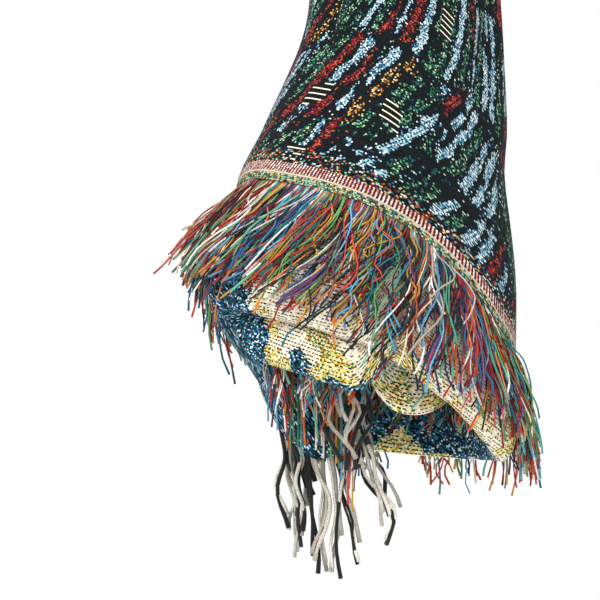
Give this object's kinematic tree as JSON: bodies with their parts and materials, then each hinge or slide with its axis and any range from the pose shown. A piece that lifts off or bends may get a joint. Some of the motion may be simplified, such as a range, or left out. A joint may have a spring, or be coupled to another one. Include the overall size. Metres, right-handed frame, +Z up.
{
  "type": "woven throw blanket",
  "caption": "Fringed tapestry-woven throw blanket, folded over, rolled loosely and hanging from its gathered top fold, with a slanting fringed hem and a free corner below.",
  "frame": {"origin": "the middle of the gathered top edge, where the throw is held up", "axes": "+Z up along the hang, -Y towards the front, +X to the right as seen from the front"},
  "size_m": [0.2063, 0.1497, 0.6299],
  "materials": {
    "woven_cloth": "matt jacquard-woven cotton, dark face and pale reverse",
    "hem_fringe": "matt cotton yarn ends in many colours",
    "side_fringe": "matt thick cotton yarn ends, off-white and black"
  },
  "bodies": {
    "root": {"cloth": "woven_cloth", "outer_hem_fringe": "hem_fringe", "inner_hem_fringe": "hem_fringe", "outer_side_fringe": "side_fringe", "inner_side_fringe": "side_fringe"}
  },
  "joints": []
}
